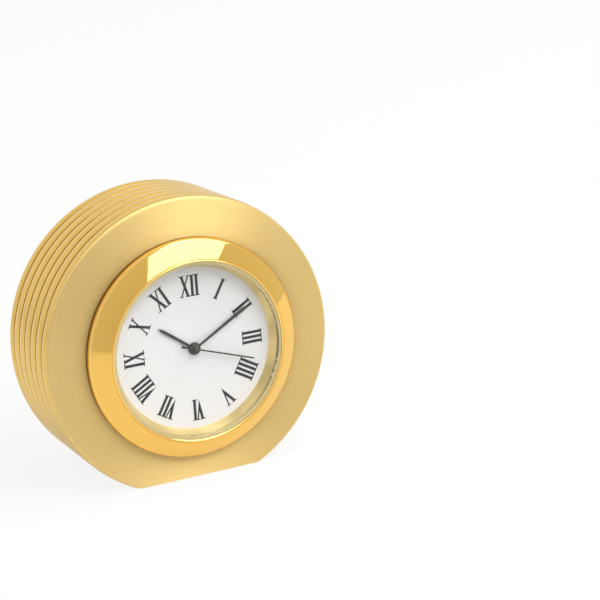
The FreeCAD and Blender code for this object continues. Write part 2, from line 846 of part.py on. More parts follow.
def make_fifth_wheel():
    wheel = pivoted_arbor(fifth_at)
    level = level_below(fifth_level)
    wheel = wheel.fuse(toothed(
        fifth_wheel_teeth, fifth_module, *level, wheel_tooth, fifth_phase, fifth_at))
    level = wide(level_below(second_level))
    return wheel.fuse(toothed(
        fifth_pinion_teeth, second_module, *level, pinion_leaf, fifth_pinion_phase, fifth_at))


def make_rotor_pinion():
    pinion = pivoted_arbor(rotor_at)
    level = wide(level_below(fifth_level))
    return pinion.fuse(toothed(
        rotor_pinion_teeth, fifth_module, *level, pinion_leaf, rotor_phase, rotor_at))


def make_second_wheel():
    """The wheel that turns once a minute, its pinion and the long seconds arbor."""
    hand_top = dial_face + second_hand_height + hand_thickness
    wheel = disc(second_arbor_radius, bridge_back, hand_top)
    shoulder_low = bridge_front + end_gap
    shoulder_high = level_below(centre_level)[0] - end_gap
    wheel = wheel.fuse(disc(arbor_radius, shoulder_low, shoulder_high))
    wheel = wheel.fuse(toothed(
        second_wheel_teeth, second_module, *level_below(second_level), wheel_tooth, second_phase))
    level = wide(level_below(third_level))
    return wheel.fuse(toothed(
        second_pinion_teeth, third_module, *level, pinion_leaf, second_pinion_phase))


def make_centre_wheel():
    """The wheel that turns once an hour, on the tube that carries the cannon pinion."""
    level = level_below(centre_level)
    wheel = toothed(centre_wheel_teeth, centre_module, *level, wheel_tooth, centre_phase)
    tube_top = dial_face + minute_hand_height
    wheel = wheel.fuse(disc(centre_tube_radius, level[0], tube_top))
    return wheel.cut(disc(second_arbor_radius + run_gap, level[0], tube_top))


def make_cannon_pinion():
    low = plate_front + end_gap
    teeth_top = wide(level_above(minute_level))[1]
    top = dial_face + minute_hand_height + hub_thickness
    pinion = disc(cannon_radius, low, top)
    pinion = pinion.fuse(toothed(
        cannon_pinion_teeth, cannon_module, low, teeth_top, pinion_leaf, cannon_phase))
    return pinion.cut(disc(centre_tube_radius + push_gap, low, top))


def make_minute_wheel():
    level = level_above(minute_level)
    wheel = toothed(
        minute_wheel_teeth, cannon_module, *level, wheel_tooth, minute_phase, minute_at)
    top = dial_back - end_gap
    wheel = wheel.fuse(toothed(
        minute_pinion_teeth, hour_module, level[1], top,
        pinion_leaf, minute_pinion_phase, minute_at))
    return wheel.cut(disc(stud_radius + run_gap, level[0], top, minute_at))


def make_hour_wheel():
    level = level_above(hour_level)
    wheel = toothed(hour_wheel_teeth, hour_module, *level, wheel_tooth, hour_phase)
    top = dial_face + hour_hand_height + hub_thickness
    wheel = wheel.fuse(disc(hour_tube_radius, level[0], top))
    return wheel.cut(disc(cannon_radius + run_gap, level[0], top))


# ---- hands ---------------------------------------------------------------------
def hand_blade(length, width, root, low, tail=0.0, tail_width=0.0):
    """A bar that widens from the hub to its pointed end; a tail widens the other way."""
    half = width / 2
    shoulder = length - hand_point * width
    outline = [(-root / 2, 0), (-half, shoulder), (0, length), (half, shoulder), (root / 2, 0)]
    if tail:
        outline += [(tail_width / 2, -tail), (-tail_width / 2, -tail)]
    return extruded(outline, low, low + hand_thickness)


def with_hub(blade, low, hub_radius, bore, angle):
    """Adds a blade's hub, bores it where it sits on a tube and turns it clockwise."""
    hand = blade.fuse(disc(hub_radius, low, low + hub_thickness))
    if bore:
        hand = hand.cut(disc(bore, low, low + hub_thickness))
    hand.rotate(Vector(0, 0, 0), Vector(0, 0, 1), -angle)
    return hand


def make_hour_hand():
    low = dial_face + hour_hand_height
    blade = hand_blade(hour_length, hour_width, hour_root, low)
    return with_hub(blade, low, hour_hub_radius, hour_tube_radius + push_gap, hour_angle)


def make_minute_hand():
    low = dial_face + minute_hand_height
    blade = hand_blade(minute_length, minute_width, minute_root, low)
    return with_hub(blade, low, minute_hub_radius, cannon_radius + push_gap, minute_angle)


def make_second_hand():
    """The seconds hand with the small domed cap that covers its arbor."""
    low = dial_face + second_hand_height
    blade = hand_blade(
        second_length, second_width, second_width, low, second_tail, second_tail_width)
    hand = with_hub(blade, low, second_hub_radius, 0, second_angle)
    foot = low + hub_thickness
    top = foot + hub_cap_height
    cap = turned([
        (0, foot),
        (second_hub_radius, foot),
        (cap_shoulder[0] * second_hub_radius, foot + cap_shoulder[1] * hub_cap_height),
        (cap_crown * second_hub_radius, top),
        (0, top),
    ])
    bore = disc(second_arbor_radius + push_gap, low, low + hand_thickness)
    return hand.fuse(cap).cut(bore)


# ---- setting knob --------------------------------------------------------------
def make_setting_arbor():
    level = level_above(minute_level)
    arbor = disc(setting_arbor_radius, arbor_end, level[0], setting_at)
    return arbor.fuse(toothed(
        setting_pinion_teeth, cannon_module, *level, pinion_leaf, setting_phase, setting_at))


def make_setting_knob():
    knob = disc(knob_radius, knob_back, knob_front, setting_at)
    for flute in range(knob_flutes):
        spot = step_from(setting_at, knob_radius, flute * 360 / knob_flutes)
        knob = knob.cut(disc(flute_radius, knob_back, knob_front, spot))
    hole = setting_arbor_radius + push_gap
    knob = knob.cut(disc(hole, arbor_end, knob_front, setting_at))
    slot_end = knob_back + knob_slot_depth
    slot_reach = knob_radius - knob_slot_margin
    return slotted(
        knob, slot_reach, knob_slot_width, knob_back, slot_end, setting_at, knob_slot_angle)


# ---- write the pieces ----------------------------------------------------------
save("case_body", make_case_body())
save("medallion", make_medallion())
save("medallion_pad", make_medallion_pad())

save("bezel", make_bezel())
save("crystal", make_crystal())
save("crystal_gasket", make_crystal_gasket())
save("dial_flange", make_dial_flange())
save("dial", make_dial())
save("dial_spacer", make_dial_spacer())
save("insert_cup", make_insert_cup())
save("battery_cover", make_battery_cover())
save("grip_ring", make_grip_ring())

save("main_plate", make_main_plate())
save("centre_bush", make_centre_bush())
save("minute_wheel_stud", make_minute_wheel_stud())
save("train_bridge", make_train_bridge())
save("bridge_screws", *make_bridge_screws())
save("stator", make_stator())
save("coil_core", make_coil_core())
save("coil_bobbin", make_coil_bobbin())
save("coil_winding", make_coil_winding())
save("coil_screws", *make_coil_screws())
save("circuit_board", make_circuit_board())
save("circuit_chip", make_circuit_chip())
save("oscillator_can", make_oscillator_can())
save("battery", make_battery())
save("battery_spring", make_battery_spring())
save("battery_clamp", make_battery_clamp())

save("rotor_magnet", make_rotor_magnet())
save("rotor_pinion", make_rotor_pinion())
save("fifth_wheel", make_fifth_wheel())
save("second_wheel", make_second_wheel())
save("second_hand", make_second_hand())
save("third_wheel", make_third_wheel())
save("centre_wheel", make_centre_wheel())
save("cannon_pinion", make_cannon_pinion())
save("minute_hand", make_minute_hand())
save("minute_wheel", make_minute_wheel())
save("hour_wheel", make_hour_wheel())
save("hour_hand", make_hour_hand())
save("setting_arbor", make_setting_arbor())
save("setting_knob", make_setting_knob())
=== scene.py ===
import json
import math

import bmesh
import bpy
from mathutils import Euler, Matrix, Vector


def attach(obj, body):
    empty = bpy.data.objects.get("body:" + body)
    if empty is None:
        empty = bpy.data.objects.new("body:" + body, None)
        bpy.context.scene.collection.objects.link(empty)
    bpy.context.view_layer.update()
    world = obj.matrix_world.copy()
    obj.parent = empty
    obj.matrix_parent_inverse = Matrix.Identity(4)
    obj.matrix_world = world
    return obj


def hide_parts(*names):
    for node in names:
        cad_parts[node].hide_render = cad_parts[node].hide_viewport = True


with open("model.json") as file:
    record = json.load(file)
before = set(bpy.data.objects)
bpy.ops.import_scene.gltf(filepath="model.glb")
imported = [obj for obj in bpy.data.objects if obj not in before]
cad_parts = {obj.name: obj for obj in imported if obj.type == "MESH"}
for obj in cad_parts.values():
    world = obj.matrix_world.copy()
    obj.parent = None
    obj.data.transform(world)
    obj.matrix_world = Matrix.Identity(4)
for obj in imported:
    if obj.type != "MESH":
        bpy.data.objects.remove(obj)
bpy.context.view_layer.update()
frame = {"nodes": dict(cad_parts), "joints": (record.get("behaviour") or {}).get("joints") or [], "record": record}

mm = 0.001

# ---- the clock's own frame: hands turn about Z, +Z out of the dial, +Y to 12 o'clock ----
hands_joint = next(j for j in frame["joints"] if j["name"] == "second_hand_spin")
clock_origin = Vector(hands_joint["pos_m"])
dial_out = -Vector(hands_joint["axis"]).normalized()
lean_turn = math.atan2(-dial_out.y, dial_out.z)
clock_frame = Matrix.Translation(clock_origin) @ Matrix.Rotation(lean_turn, 4, "X")


def clock_span(node_name):
    """Lowest and highest corner of a CAD node, in the clock's own frame."""
    to_clock = clock_frame.inverted()
    places = [to_clock @ v.co for v in frame["nodes"][node_name].data.vertices]
    low = Vector([min(p[i] for p in places) for i in range(3)])
    high = Vector([max(p[i] for p in places) for i in range(3)])
    return low, high


case_low, case_high = clock_span("case_body")
medallion_low, medallion_high = clock_span("medallion")
_, pad_high = clock_span("medallion_pad")
bezel_low, bezel_high = clock_span("bezel")
crystal_low, crystal_high = clock_span("crystal")
gasket_low, gasket_high = clock_span("crystal_gasket")
flange_low, flange_high = clock_span("dial_flange")
dial_low, dial_high = clock_span("dial")
_, cup_high = clock_span("insert_cup")
knob_low, _ = clock_span("setting_knob")
hour_low, _ = clock_span("hour_hand")
minute_low, _ = clock_span("minute_hand")
second_low, second_high = clock_span("second_hand")

# ---- case ----
case_radius = case_high.x
case_depth = -case_low.z
ridge_pitch = 3.0 * mm
groove_width = 0.50 * mm
groove_depth = 0.32 * mm
ridge_crown = 0.26 * mm
groove_count = 6
edge_break = 0.40 * mm
edge_swell = 0.08 * mm
edge_round = 0.06 * mm
bore_chamfer = 0.15 * mm
bore_radius = 18.25 * mm
knob_space = 2.9 * mm
bore_bottom = knob_low.z - knob_space
recess_gap = 0.02 * mm
recess_chamfer = 0.12 * mm
case_turns = 288
ridge_steps = 10
groove_steps = 8
edge_steps = 6

# ---- bezel, crystal and flange ----
push_gap = 0.02 * mm
bezel_radius = bezel_high.x
bezel_undercut = 0.12 * mm
bezel_edge_low = 0.25 * mm
bezel_edge = 1.05 * mm
bezel_shoulder_width = 0.62 * mm
bezel_shoulder_rise = 1.00 * mm
bezel_shoulder_swell = 0.12 * mm
bezel_swell = 0.05 * mm
lip_width = 0.40 * mm
lip_drop = 0.15 * mm
lip_fullness = 0.48
lip_groove_width = 0.14 * mm
lip_groove_depth = 0.07 * mm
rim_radius = gasket_high.x + push_gap
gasket_width = 0.45 * mm
gasket_swell = 0.05 * mm
bezel_turns = 320
shoulder_steps = 14
cone_steps = 20
lip_groove_steps = 5
lip_steps = 16
flange_steps = 12
crystal_edge = 0.05 * mm
flange_cover = 0.55 * mm
flange_top_inset = 0.15 * mm
flange_hollow = 0.03 * mm

# ---- dial and numerals ----
dial_hole = 1.0 * mm
ink_lift = 0.003 * mm
ink_thickness = 0.018 * mm
numeral_foot = 9.93 * mm
numeral_height = 4.05 * mm
thick_stroke = 0.54 * mm
thin_stroke = 0.27 * mm
serif_height = 0.18 * mm
serif_reach = 0.24 * mm
bar_pitch = 0.91 * mm
v_alone_width = 1.82 * mm
v_joined_width = 1.40 * mm
v_tip_height = 0.10 * mm
v_gap = 0.09 * mm
x_width = 1.76 * mm
x_gap = 0.32 * mm
numerals = ("I", "II", "III", "IIII", "V", "VI", "VII", "VIII", "IX", "X", "XI", "XII")
hour_step = 360 / len(numerals)

# ---- hands ----
hour_angle = 305.8
minute_angle = 60.3
second_angle = 108.5
hand_thickness = 0.14 * mm
hub_thickness = 0.22 * mm
hour_blade = (8.65 * mm, 0.62 * mm, 0.50 * mm)
minute_blade = (13.1 * mm, 0.68 * mm, 0.38 * mm)
second_blade = (12.65 * mm, 0.28 * mm, 0.28 * mm)
second_tail = (2.9 * mm, 0.52 * mm)
hand_point = 2.0
hand_softness = 0.03 * mm
hub_softness = 0.05 * mm
hour_hub_radius = 1.20 * mm
minute_hub_radius = 1.08 * mm
second_hub_radius = 0.55 * mm
hour_tube_bore = 0.80 * mm
cannon_bore = 0.52 * mm
arbor_bore = 0.17 * mm
cap_swell = 0.09 * mm
cap_steps = 12
hub_turns = 64

# ---- medallion ----
ground_depth = 0.25 * mm
medallion_rim = 0.40 * mm
inner_ring_radius = 13.6 * mm
inner_ring_width = 0.45 * mm
relief_round = 0.05 * mm
star_points = 8
star_long = 11.2 * mm
star_short = 7.4 * mm
star_waist = 2.9 * mm
star_floor = 0.03 * mm
tick_count = 72
tick_every_long = 6
tick_outer = 16.1 * mm
tick_short = 0.8 * mm
tick_long = 1.5 * mm
tick_width = 0.24 * mm
tick_crown = (0.5, 0.88, 1.0)


# ---- mesh helpers ----
smooth_angle = math.radians(32.0)
merge_distance = 0.0004 * mm
cut_tolerance = 0.0002 * mm


def finished(name, bm, material, body, replaced=(), placed=False):
    """Places a bmesh in the object's frame and hands it over as one finished piece."""
    if not placed:
        bm.transform(clock_frame)
    mesh = bpy.data.meshes.new(name)
    bm.to_mesh(mesh)
    bm.free()
    mesh.materials.append(material)
    mesh.polygons.foreach_set("use_smooth", [True] * len(mesh.polygons))
    mesh.set_sharp_from_angle(angle=smooth_angle)
    piece = bpy.data.objects.new(name, mesh)
    bpy.context.scene.collection.objects.link(piece)
    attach(piece, body)
    if replaced:
        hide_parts(*replaced)
    return piece


def clean(bm):
    bmesh.ops.remove_doubles(bm, verts=bm.verts, dist=merge_distance)
    bmesh.ops.recalc_face_normals(bm, faces=bm.faces)
    return bm


def bulge(start, end, rise, steps):
    """Points after start up to end, bowed out to the left of the line by rise."""
    run = (end[0] - start[0], end[1] - start[1])
    length = math.hypot(*run)
    side = (-run[1] / length, run[0] / length)
    points = []
    for step in range(1, steps + 1):
        share = step / steps
        lift = rise * 4 * share * (1 - share)
        points.append((
            start[0] + run[0] * share + side[0] * lift,
            start[1] + run[1] * share + side[1] * lift))
    return points


def hollow(start, end, depth, steps):
    """Points after start up to end along a half ellipse cut in to the right of the line."""
    run = (end[0] - start[0], end[1] - start[1])
    length = math.hypot(*run)
    side = (run[1] / length, -run[0] / length)
    points = []
    for step in range(1, steps + 1):
        turn = math.pi * step / steps
        along = (1 - math.cos(turn)) / 2
        cut = depth * math.sin(turn)
        points.append((
            start[0] + run[0] * along + side[0] * cut,
            start[1] + run[1] * along + side[1] * cut))
    return points


def spun(profile, turns, closed=False):
    """A turned shape: (radius, height) points spun once about the clock's axis."""
    bm = bmesh.new()
    corners = [bm.verts.new((radius, 0, height)) for radius, height in profile]
    edges = [bm.edges.new(pair) for pair in zip(corners, corners[1:])]
    if closed:
        edges.append(bm.edges.new((corners[-1], corners[0])))
    bmesh.ops.spin(
        bm, geom=corners + edges, cent=(0, 0, 0), axis=(0, 0, 1), angle=math.tau,
        steps=turns, use_merge=True)
    return clean(bm)


def add_block(bm, corner, along, across, up):
    """Adds a slanted block with one corner and three edges given."""
    middle = corner + (along + across + up) / 2
    shape = Matrix((along, across, up)).transposed().to_4x4()
    bmesh.ops.create_cube(bm, size=1.0, matrix=Matrix.Translation(middle) @ shape)


def turn_about_axis(bm, clockwise_deg):
    bmesh.ops.rotate(
        bm, verts=bm.verts, cent=(0, 0, 0),
        matrix=Matrix.Rotation(-math.radians(clockwise_deg), 3, "Z"))


# ---- case ----
def case_profile():
    """From the bore's bottom, out over the front face, down the ridges, to the recess."""
    shoulder = case_radius - ridge_crown
    face_radius = shoulder - edge_break
    recess_radius = medallion_high.x + recess_gap
    recess_bottom = pad_high.z
    points = [
        (0, bore_bottom),
        (bore_radius, bore_bottom),
        (bore_radius, -bore_chamfer),
        (bore_radius + bore_chamfer, 0),
        (face_radius - edge_round, 0),
        (face_radius, 0),
    ]
    points += bulge(points[-1], (shoulder, -edge_break), edge_swell, edge_steps)
    for groove in range(1, groove_count + 2):
        is_last = groove > groove_count
        end = -groove * ridge_pitch + groove_width / 2
        if is_last:
            end = -case_depth + edge_break
        points += bulge(points[-1], (shoulder, end), ridge_crown, ridge_steps)
        if not is_last:
            points += hollow(points[-1], (shoulder, end - groove_width), groove_depth, groove_steps)
    points += bulge(points[-1], (face_radius, -case_depth), edge_swell, edge_steps)
    points += [
        (face_radius - edge_round, -case_depth),
        (recess_radius + recess_chamfer, -case_depth),
        (recess_radius, -case_depth + recess_chamfer),
        (recess_radius, recess_bottom),
        (0, recess_bottom),
    ]
    return points


def make_case_body(material):
    bm = spun(case_profile(), case_turns)
    bm.transform(clock_frame)
    everything = bm.verts[:] + bm.edges[:] + bm.faces[:]
    cut = bmesh.ops.bisect_plane(
        bm, geom=everything, dist=cut_tolerance, plane_co=(0, 0, 0), plane_no=(0, 0, 1),
        clear_inner=True)
    rim = [item for item in cut["geom_cut"] if isinstance(item, bmesh.types.BMEdge)]
    bmesh.ops.holes_fill(bm, edges=rim)
    bmesh.ops.recalc_face_normals(bm, faces=bm.faces)
    return finished(
        "case_body_turned", bm, material, "case", ["case_body"], placed=True)


# ---- medallion ----
def add_star(bm, ground, top):
    """A faceted compass star whose points climb to its centre."""
    rim = []
    for point in range(star_points):
        direction = math.pi / 2 + point * math.tau / star_points
        between = direction + math.pi / star_points
        reach = star_long if point % 2 == 0 else star_short
        rim.append((reach * math.cos(direction), reach * math.sin(direction)))
        rim.append((star_waist * math.cos(between), star_waist * math.sin(between)))
    edge = ground - star_floor
    upper = [bm.verts.new((x, y, edge)) for x, y in rim]
    lower = [bm.verts.new((x, y, ground + star_floor)) for x, y in rim]
    apex = bm.verts.new((0, 0, top))
    bm.faces.new(lower)
    for i, corner in enumerate(upper):
        following = (i + 1) % len(upper)
        bm.faces.new((corner, upper[following], apex))
        bm.faces.new((corner, upper[following], lower[following], lower[i]))


def add_tick(bm, number, ground, top):
    """A short raised bar of the graduated ring, with sloping flanks."""
    length = tick_long if number % tick_every_long == 0 else tick_short
    bar = bmesh.ops.create_cube(bm, size=1.0)["verts"]
    bmesh.ops.scale(bm, verts=bar, vec=(tick_width, length, ground - top + star_floor))
    crown = [v for v in bar if v.co.z < 0]
    bmesh.ops.scale(bm, verts=crown, vec=tick_crown)
    middle = (top + ground + star_floor) / 2
    bmesh.ops.translate(bm, verts=bar, vec=(0, tick_outer - length / 2, middle))
    bmesh.ops.rotate(
        bm, verts=bar, cent=(0, 0, 0),
        matrix=Matrix.Rotation(number * math.tau / tick_count, 3, "Z"))


def medallion_profile():
    top = medallion_low.z
    ground = top + ground_depth
    outer = medallion_high.x
    ring_inner = inner_ring_radius - inner_ring_width
    points = [
        (0, medallion_high.z),
        (outer, medallion_high.z),
        (outer, top + relief_round),
        (outer - relief_round, top),
        (outer - medallion_rim + relief_round, top),
        (outer - medallion_rim, top + relief_round),
        (outer - medallion_rim - relief_round, ground),
        (inner_ring_radius + relief_round, ground),
        (inner_ring_radius, top + relief_round),
    ]
    points += bulge(points[-1], (ring_inner, top + relief_round), relief_round, edge_steps)
    points += [(ring_inner - relief_round, ground), (0, ground)]
    return points


def make_medallion(material):
    bm = spun(medallion_profile(), case_turns)
    top = medallion_low.z
    ground = top + ground_depth
    add_star(bm, ground, top)
    for number in range(tick_count):
        add_tick(bm, number, ground, top)
    bmesh.ops.recalc_face_normals(bm, faces=bm.faces)
    return finished(
        "medallion_struck", bm, material, "case", ["medallion"])


# ---- bezel, crystal, flange ----
def bezel_profile():
    """From the bore, out under the foot, up the wall, over shoulder and cone, to the lip."""
    bore = cup_high.x + push_gap
    foot = bezel_low.z
    top = bezel_high.z
    lip_outer = rim_radius + lip_width
    cone_end = (lip_outer + lip_groove_width, top - lip_drop / 2 - lip_groove_width / 2)
    cone_start = (bezel_radius - bezel_shoulder_width, bezel_edge + bezel_shoulder_rise)
    points = [
        (bore, crystal_low.z),
        (bore, foot),
        (bezel_radius - bezel_undercut, foot),
        (bezel_radius - edge_round, bezel_edge_low - edge_round),
        (bezel_radius, bezel_edge_low),
        (bezel_radius, bezel_edge),
    ]
    points += bulge(points[-1], cone_start, -bezel_shoulder_swell, shoulder_steps)
    points += bulge(cone_start, cone_end, -bezel_swell, cone_steps)
    lip_swell = lip_width * lip_fullness
    points += bulge(cone_end, (lip_outer, cone_end[1]), lip_groove_depth, lip_groove_steps)
    points += bulge(points[-1], (rim_radius, top - lip_drop), -lip_swell, lip_steps)
    points.append((rim_radius, crystal_low.z))
    return points


def make_bezel(material):
    bm = spun(bezel_profile(), bezel_turns, closed=True)
    return finished("bezel_polished", bm, material, "insert", ["bezel"])


def make_crystal(material):
    radius = crystal_high.x
    low, high = crystal_low.z, crystal_high.z
    profile = [
        (0, low), (radius, low), (radius, high - crystal_edge), (radius - crystal_edge, high),
        (0, high)]
    bm = spun(profile, bezel_turns)
    return finished("crystal_disc", bm, material, "insert", ["crystal"])


def make_gasket(material):
    outer, inner = gasket_high.x, gasket_high.x - gasket_width
    low, high = gasket_low.z, gasket_high.z
    profile = [(inner, low), (outer, low), (outer, high)]
    profile += bulge(profile[-1], (inner, high), gasket_swell, edge_steps)
    bm = spun(profile, bezel_turns, closed=True)
    return finished(
        "crystal_seal", bm, material, "insert", ["crystal_gasket"])


def make_flange(material):
    """The sloping ring between the dial and the crystal, slightly hollow."""
    outer = flange_high.x
    foot = (dial_high.x - flange_cover, flange_low.z)
    top = (rim_radius - gasket_width - flange_top_inset, flange_high.z)
    profile = [(outer, top[1]), (outer, foot[1]), (foot[0], foot[1])]
    profile.append((foot[0], foot[1] + edge_round))
    profile += bulge(profile[-1], (top[0], top[1] - edge_round), -flange_hollow, flange_steps)
    profile.append(top)
    bm = spun(profile, bezel_turns, closed=True)
    return finished("dial_surround", bm, material, "insert", ["dial_flange"])


# ---- dial ----
def make_dial(material):
    low, high = dial_low.z, dial_high.z
    profile = [
        (dial_hole, low), (dial_high.x, low), (dial_high.x, high - edge_round),
        (dial_high.x - edge_round, high), (dial_hole + edge_round, high),
        (dial_hole, high - edge_round)]
    bm = spun(profile, bezel_turns, closed=True)
    return finished("dial_plate", bm, material, "insert", ["dial"])


def add_stroke(bm, foot, head, width):
    """One inked stroke between two points, with ends level with the numeral's foot."""
    corner = Vector((foot[0] - width / 2, foot[1], 0))
    along = Vector((head[0] - foot[0], head[1] - foot[1], 0))
    add_block(bm, corner, along, Vector((width, 0, 0)), Vector((0, 0, ink_thickness)))


def add_serif(bm, middle_x, level, width):
    corner = Vector((middle_x - width / 2 - serif_reach, level, 0))
    across = Vector((width + 2 * serif_reach, 0, 0))
    add_block(bm, corner, Vector((0, serif_height, 0)), across, Vector((0, 0, ink_thickness)))


def add_pointed_v(bm, left, right):
    """The two slanting strokes of a V, which meet in a point near the numeral's foot."""
    top = numeral_height
    share = (right - left - thick_stroke - thin_stroke) / (right - left)
    tip = Vector(((left + right + thick_stroke - thin_stroke) / 2, v_tip_height, 0))
    crotch = Vector((
        left + thick_stroke + (tip.x - left) * share, top + (tip.y - top) * share, 0))
    outline = [
        (left, top, 0), tip, (right, top, 0), (right - thin_stroke, top, 0), crotch,
        (left + thick_stroke, top, 0)]
    base = bm.faces.new([bm.verts.new(point) for point in outline])
    grown = bmesh.ops.extrude_face_region(bm, geom=[base])["geom"]
    raised = [item for item in grown if isinstance(item, bmesh.types.BMVert)]
    bmesh.ops.translate(bm, verts=raised, vec=(0, 0, ink_thickness))


def letter_width(letter, alone):
    if letter == "V":
        return v_alone_width if alone else v_joined_width
    return {"I": thick_stroke, "X": x_width}[letter]


def add_letter(bm, letter, left, right):
    """Draws one letter of a numeral upright between its left and right edges."""
    top = numeral_height
    if letter == "I":
        middle = (left + right) / 2
        add_stroke(bm, (middle, 0), (middle, top), thick_stroke)
        add_serif(bm, middle, 0, thick_stroke)
        add_serif(bm, middle, top - serif_height, thick_stroke)
        return
    thick_top = left + thick_stroke / 2
    thin_top = right - thin_stroke / 2
    if letter == "V":
        add_pointed_v(bm, left, right)
    else:
        thick_foot = right - thick_stroke / 2
        thin_foot = left + thin_stroke / 2
        add_stroke(bm, (thick_foot, 0), (thick_top, top), thick_stroke)
        add_stroke(bm, (thin_foot, 0), (thin_top, top), thin_stroke)
        add_serif(bm, thick_foot, 0, thick_stroke)
        add_serif(bm, thin_foot, 0, thin_stroke)
    add_serif(bm, thick_top, top - serif_height, thick_stroke)
    add_serif(bm, thin_top, top - serif_height, thin_stroke)


def gap_between(letter, following):
    """The white gap between the strokes of two neighbouring letters."""
    if "X" in (letter, following):
        return x_gap
    if "V" in (letter, following):
        return v_gap
    return bar_pitch - thick_stroke


def draw_numeral(text):
    bm = bmesh.new()
    left = 0.0
    for letter, following in zip(text, text[1:] + " "):
        right = left + letter_width(letter, alone=len(text) == 1)
        add_letter(bm, letter, left, right)
        left = right + gap_between(letter, following)
    bmesh.ops.translate(bm, verts=bm.verts, vec=(-right / 2, numeral_foot, 0))
    bmesh.ops.recalc_face_normals(bm, faces=bm.faces)
    return bm


def make_numerals(material):
    whole = bmesh.new()
    for hour, text in enumerate(numerals, start=1):
        bm = draw_numeral(text)
        turn_about_axis(bm, hour * hour_step)
        part = bpy.data.meshes.new("numeral")
        bm.to_mesh(part)
        bm.free()
        whole.from_mesh(part)
        bpy.data.meshes.remove(part)
    bmesh.ops.translate(whole, verts=whole.verts, vec=(0, 0, dial_high.z + ink_lift))
    return finished("dial_numerals", whole, material, "insert")


# ---- hands ----
def blade_outline(blade, start):
    """A pointed blade that starts under its hub's ring."""
    length, width, root = blade
    half = width / 2
    shoulder = length - hand_point * width
    return [
        (-root / 2, start), (-half, shoulder), (0, length), (half, shoulder), (root / 2, start)]


def tail_outline(tail, start):
    length, width = tail
    return [
        (width / 4, -start), (width / 2, -length), (-width / 2, -length), (-width / 4, -start)]


def add_plate(bm, outline, low):
    """A flat plate of a hand's thickness with softened upper edges."""
    corners = [bm.verts.new((x, y, low)) for x, y in outline]
    base = bm.faces.new(corners)
    grown = bmesh.ops.extrude_face_region(bm, geom=[base])["geom"]
    top = [item for item in grown if isinstance(item, bmesh.types.BMVert)]
    bmesh.ops.translate(bm, verts=top, vec=(0, 0, hand_thickness))
    top_edges = [e for e in bm.edges if all(v in top for v in e.verts)]
    bmesh.ops.bevel(
        bm, geom=top_edges, offset=hand_softness, offset_type="OFFSET", affect="EDGES",
        segments=2, profile=0.5, material=-1)


def add_turned(bm, profile):
    """Adds a closed turned ring to a bmesh that already holds something."""
    turned = spun(profile, hub_turns, closed=True)
    part = bpy.data.meshes.new("turned")
    turned.to_mesh(part)
    turned.free()
    bm.from_mesh(part)
    bpy.data.meshes.remove(part)


def hub_profile(radius, bore, low):
    high = low + hub_thickness
    soft = hub_softness
    return [
        (bore, low), (radius - soft, low), (radius, low + soft), (radius, high - soft),
        (radius - soft, high), (bore + soft / 2, high), (bore, high - soft / 2)]


def make_hand(name, blade, low, hub_radius, bore, angle, material, body, node_name, tail=None):
    bm = bmesh.new()
    start = (bore + hub_radius) / 2
    add_plate(bm, blade_outline(blade, start), low)
    if tail:
        add_plate(bm, tail_outline(tail, start), low)
    bmesh.ops.recalc_face_normals(bm, faces=bm.faces)
    add_turned(bm, hub_profile(hub_radius, bore, low))
    turn_about_axis(bm, angle)
    return finished(name, bm, material, body, [node_name])


def make_hands(material):
    make_hand("hour_hand_blade", hour_blade, hour_low.z, hour_hub_radius, hour_tube_bore,
              hour_angle, material, "hours", "hour_hand")
    make_hand("minute_hand_blade", minute_blade, minute_low.z, minute_hub_radius, cannon_bore,
              minute_angle, material, "minutes", "minute_hand")
    make_hand("second_hand_blade", second_blade, second_low.z, second_hub_radius, arbor_bore,
              second_angle, material, "seconds", "second_hand", second_tail)


def make_hub_cap(material):
    """The small domed cap in the middle of the hands."""
    foot = second_low.z + hub_thickness
    crown = second_high.z
    profile = [(0, foot), (second_hub_radius, foot)]
    profile += bulge(profile[-1], (0.0, crown), -cap_swell, cap_steps)
    bm = spun(profile, hub_turns)
    return finished("second_hand_cap", bm, material, "seconds")


# ---- shader helpers ----
MIX_SHARE, MIX_FIRST, MIX_SECOND, MIX_RESULT = 0, 6, 7, 2


def add(tree, kind, inputs=None, **settings):
    """Adds a shader node; an input given as a socket is linked, any other is set."""
    made = tree.nodes.new("ShaderNode" + kind)
    for name, value in settings.items():
        setattr(made, name, value)
    for name, value in (inputs or {}).items():
        if isinstance(value, bpy.types.NodeSocket):
            tree.links.new(value, made.inputs[name])
        else:
            made.inputs[name].default_value = value
    return made


def calc(tree, operation, *values, clamp=False):
    given = dict(enumerate(values))
    return add(tree, "Math", given, operation=operation, use_clamp=clamp).outputs[0]


def remap(tree, value, low, high, to_low=0.0, to_high=1.0):
    inputs = {
        "Value": value, "From Min": low, "From Max": high, "To Min": to_low, "To Max": to_high}
    return add(tree, "MapRange", inputs).outputs[0]


def blended(tree, share, first, second):
    inputs = {MIX_SHARE: share, MIX_FIRST: first, MIX_SECOND: second}
    return add(tree, "Mix", inputs, data_type="RGBA", blend_type="MIX").outputs[MIX_RESULT]


def noise(tree, vector, scale, detail, roughness):
    inputs = {"Vector": vector, "Scale": scale, "Detail": detail, "Roughness": roughness}
    return add(tree, "TexNoise", inputs, noise_dimensions="3D").outputs[0]


def new_group(name, takes, gives):
    """A shader node group with value inputs and their defaults, and value outputs."""
    tree = bpy.data.node_groups.new(name, "ShaderNodeTree")
    for socket_name, default in takes.items():
        made = tree.interface.new_socket(
            socket_name, in_out="INPUT", socket_type="NodeSocketFloat")
        made.default_value = default
    for socket_name in gives:
        tree.interface.new_socket(socket_name, in_out="OUTPUT", socket_type="NodeSocketFloat")
    inlet = tree.nodes.new("NodeGroupInput")
    outlet = tree.nodes.new("NodeGroupOutput")
    return tree, inlet, outlet


